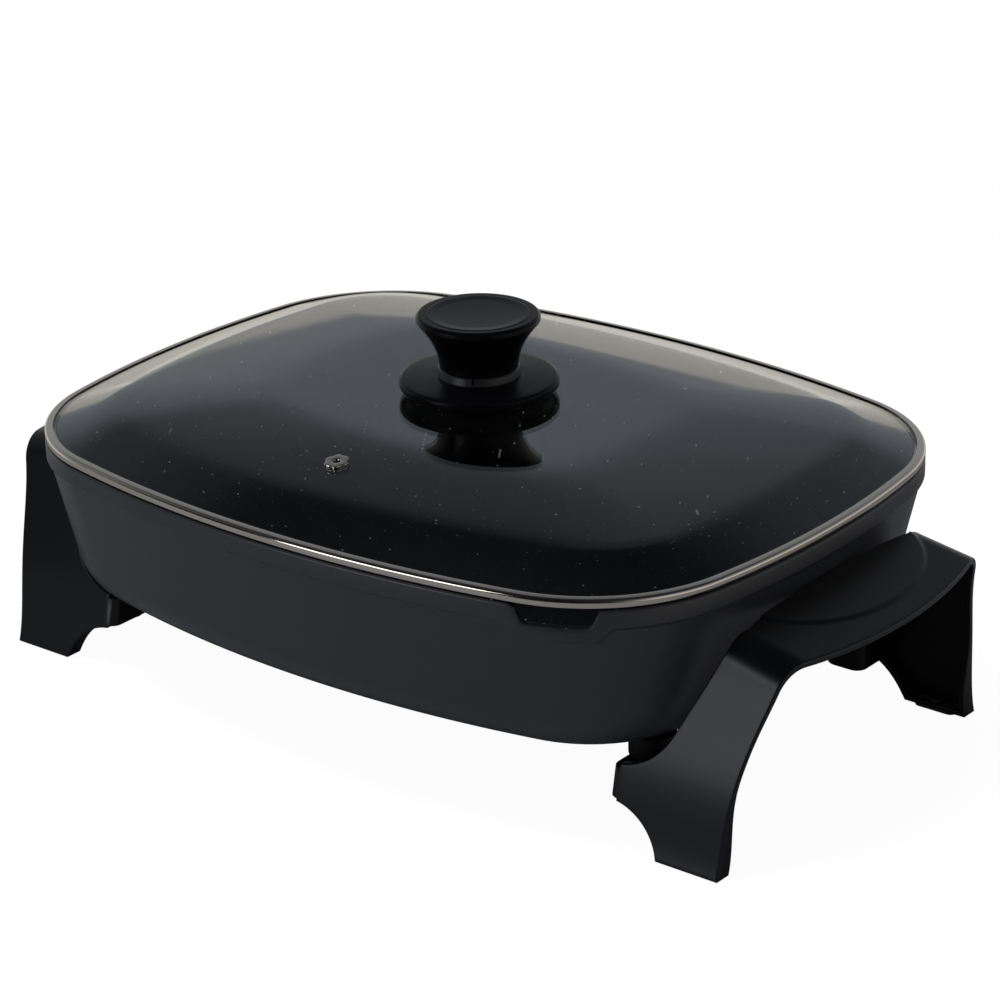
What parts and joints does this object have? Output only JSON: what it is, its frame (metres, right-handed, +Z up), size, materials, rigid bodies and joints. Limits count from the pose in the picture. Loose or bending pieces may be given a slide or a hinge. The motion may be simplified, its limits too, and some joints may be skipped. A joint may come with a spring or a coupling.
{
  "type": "electric skillet",
  "caption": "Rectangular electric skillet: cast pan with a pouring lip on two moulded leg-and-handle units, with a lift-off domed glass lid and a knob.",
  "frame": {"origin": "on the table, under the middle of the pan", "axes": "+X along the pan's length, away from the control socket, towards the right-hand leg unit; -Y towards the side with the pouring lip; +Z up"},
  "size_m": [0.505, 0.33, 0.1985],
  "materials": {
    "pan_coating": "dark grey satin non-stick coating on cast aluminium",
    "element_sheath": "drawn steel sheath, darkened by heat",
    "pin_steel": "plated steel",
    "insulator_ceramic": "unglazed ceramic",
    "guard_plastic": "moulded phenolic",
    "screw_steel": "zinc-plated steel",
    "leg_plastic": "satin black moulded phenolic",
    "washer_fibre": "pressed mineral fibre",
    "pad_rubber": "matt silicone rubber",
    "lid_glass": "clear tempered glass",
    "rim_steel": "polished stainless steel",
    "knob_plastic": "satin black moulded phenolic",
    "collar_plastic": "dark grey moulded plastic",
    "insert_brass": "turned brass"
  },
  "bodies": {
    "base": {"pan": "pan_coating", "heating_element": "element_sheath", "terminal_pins": "pin_steel", "pin_insulators": "insulator_ceramic", "probe_sleeve": "pin_steel", "terminal_guard": "guard_plastic", "guard_screws": "screw_steel", "earth_spring": "screw_steel", "leg_unit_right": "leg_plastic", "leg_unit_left": "leg_plastic", "leg_screws_right": "screw_steel", "leg_screws_left": "screw_steel", "heat_washers_right": "washer_fibre", "heat_washers_left": "washer_fibre", "foot_pads_right": "pad_rubber", "foot_pads_left": "pad_rubber"},
    "lid": {"lid_glass": "lid_glass", "lid_rim": "rim_steel", "vent_grommet": "rim_steel", "knob": "knob_plastic", "knob_cap": "knob_plastic", "knob_collar": "collar_plastic", "knob_flange": "knob_plastic", "knob_seal": "pad_rubber", "inner_washer": "pad_rubber", "screw_cup": "screw_steel", "knob_screw": "screw_steel", "knob_insert": "insert_brass"}
  },
  "joints": [
    {"name": "lid_lift", "type": "slide", "parent": "base", "child": "lid", "axis": [0, 0, 1], "range_m": [0, 0.12]}
  ]
}
